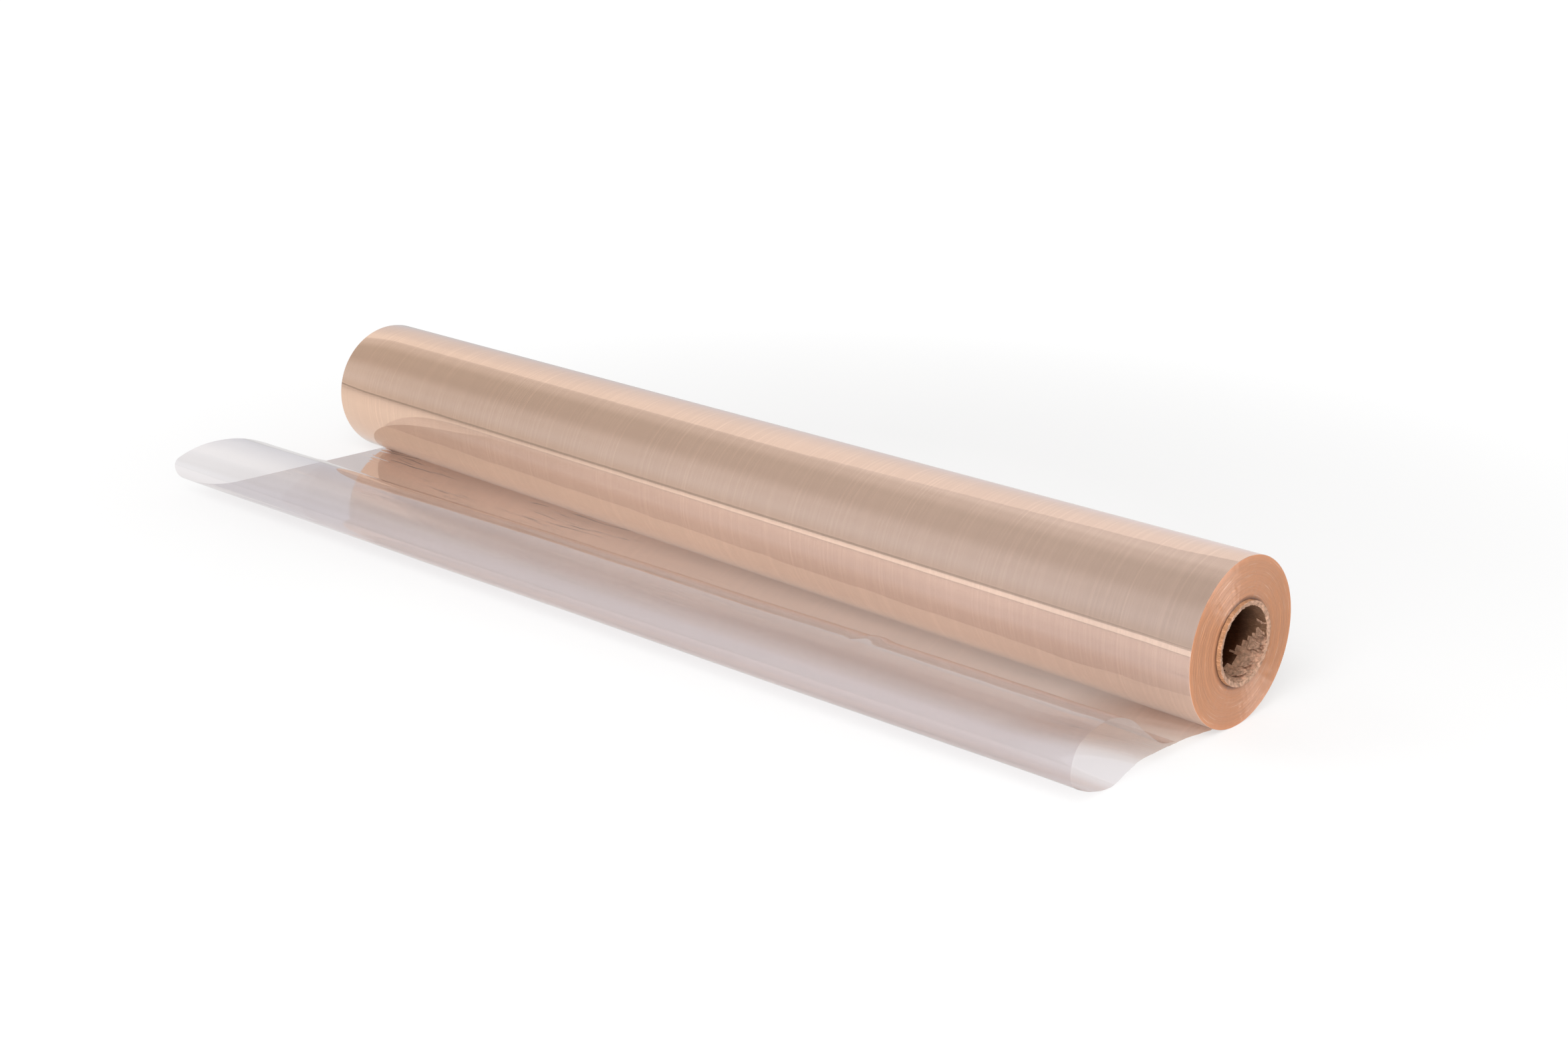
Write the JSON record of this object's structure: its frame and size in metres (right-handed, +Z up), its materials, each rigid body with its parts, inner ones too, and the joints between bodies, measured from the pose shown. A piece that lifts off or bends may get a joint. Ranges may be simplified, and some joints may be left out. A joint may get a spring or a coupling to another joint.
{
  "type": "roll of clear wrapping film",
  "caption": "Long roll of clear wrapping film on a brown card core, lying on its side with the free end laid out in front and curled back over itself in a loose loop.",
  "frame": {"origin": "centre of the card core's bore, at mid length of the roll", "axes": "+X along the core's bore, towards the roll's right end as seen from the free end's side; +Z up from the table that the roll lies on; the free film runs out towards -Y"},
  "size_m": [0.705, 0.2164, 0.0866],
  "materials": {
    "film": "clear glossy film, tan where many turns lie on each other",
    "card": "matt brown card with a fibrous cut rim"
  },
  "bodies": {
    "root": {"wrapping_film": "film", "core_tube": "card"}
  },
  "joints": []
}
